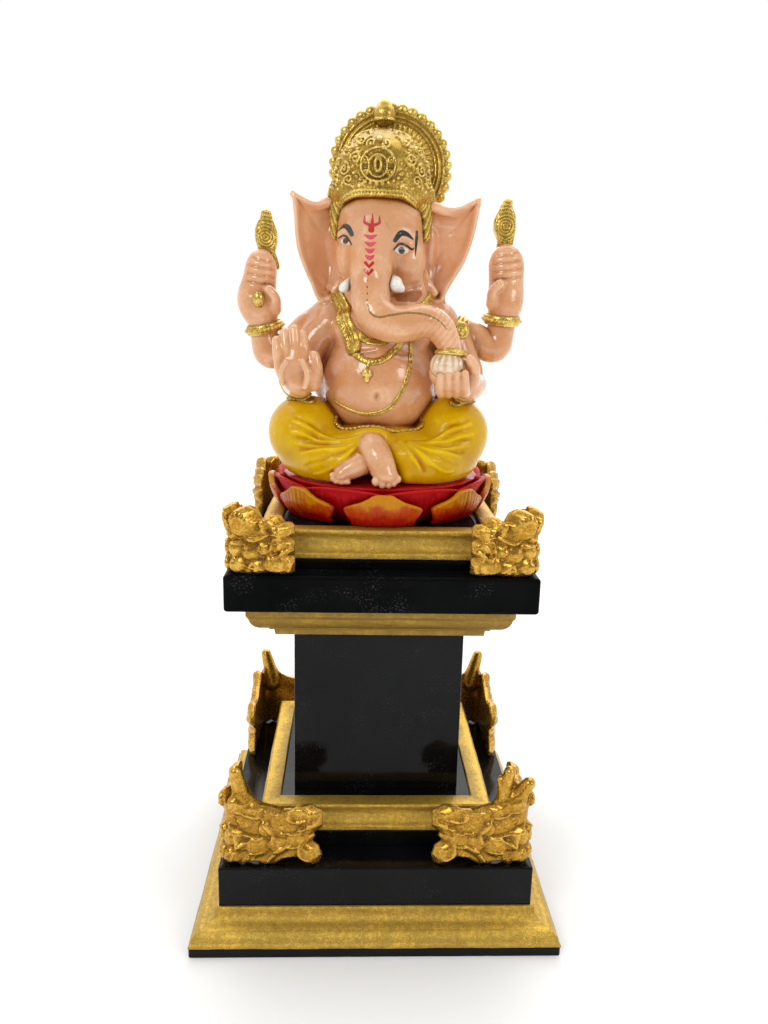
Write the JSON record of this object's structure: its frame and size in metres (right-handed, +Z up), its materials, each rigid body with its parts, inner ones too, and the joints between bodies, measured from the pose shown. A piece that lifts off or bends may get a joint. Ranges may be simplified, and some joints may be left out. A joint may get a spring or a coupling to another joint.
{
  "type": "ganesha idol",
  "caption": "Seated elephant-headed deity in painted resin on a red lotus seat, raised on a square black and gold tiered display pedestal with leafy corner ornaments.",
  "frame": {"origin": "centre of the pedestal's underside, on the surface it stands on", "axes": "+Z up through the column to the halo; the idol faces -Y; +X is the viewer's right, which is the idol's own left"},
  "size_m": [0.2, 0.2, 0.4506],
  "materials": {
    "black_lacquer": "gloss",
    "gold_moulding": "satin",
    "gold_leaf_casting": "gloss",
    "gold_idol_trim": "gloss",
    "skin_enamel": "gloss",
    "yellow_enamel": "gloss",
    "red_enamel": "gloss",
    "orange_tipped_enamel": "gloss",
    "white_enamel": "gloss",
    "sweet_enamel": "gloss",
    "screw_steel": "satin"
  },
  "bodies": {
    "root": {"base_board": "black_lacquer", "base_moulding_front": "gold_moulding", "base_moulding_right": "gold_moulding", "base_moulding_back": "gold_moulding", "base_moulding_left": "gold_moulding", "lower_block": "black_lacquer", "lower_riser": "black_lacquer", "lower_frame_front": "gold_moulding", "lower_frame_right": "gold_moulding", "lower_frame_back": "gold_moulding", "lower_frame_left": "gold_moulding", "column": "black_lacquer", "cornice_front": "gold_moulding", "cornice_right": "gold_moulding", "cornice_back": "gold_moulding", "cornice_left": "gold_moulding", "upper_slab": "black_lacquer", "upper_riser": "black_lacquer", "upper_frame_front": "gold_moulding", "upper_frame_right": "gold_moulding", "upper_frame_back": "gold_moulding", "upper_frame_left": "gold_moulding", "lower_leaf_front_left": "gold_leaf_casting", "lower_leaf_front_right": "gold_leaf_casting", "lower_leaf_back_right": "gold_leaf_casting", "lower_leaf_back_left": "gold_leaf_casting", "upper_leaf_front_left": "gold_leaf_casting", "upper_leaf_front_right": "gold_leaf_casting", "upper_leaf_back_right": "gold_leaf_casting", "upper_leaf_back_left": "gold_leaf_casting", "column_screws": "screw_steel", "base_screws": "screw_steel", "lotus_core": "red_enamel", "lotus_outer_petals": "orange_tipped_enamel", "lotus_inner_petals": "red_enamel", "dhoti": "yellow_enamel", "front_foot": "skin_enamel", "rear_foot": "skin_enamel", "torso": "skin_enamel", "head": "skin_enamel", "trunk": "skin_enamel", "left_ear": "skin_enamel", "right_ear": "skin_enamel", "tusks": "white_enamel", "crown": "gold_idol_trim", "halo": "gold_idol_trim", "left_rear_arm": "skin_enamel", "right_rear_arm": "skin_enamel", "left_front_arm": "skin_enamel", "right_front_arm": "skin_enamel", "left_hand_emblem": "gold_idol_trim", "right_hand_emblem": "gold_idol_trim", "bangles": "gold_idol_trim", "right_armlet": "gold_idol_trim", "necklace": "gold_idol_trim", "sacred_thread": "gold_idol_trim", "shawl": "gold_idol_trim", "waist_chain": "gold_idol_trim", "sweet": "sweet_enamel"}
  },
  "joints": []
}
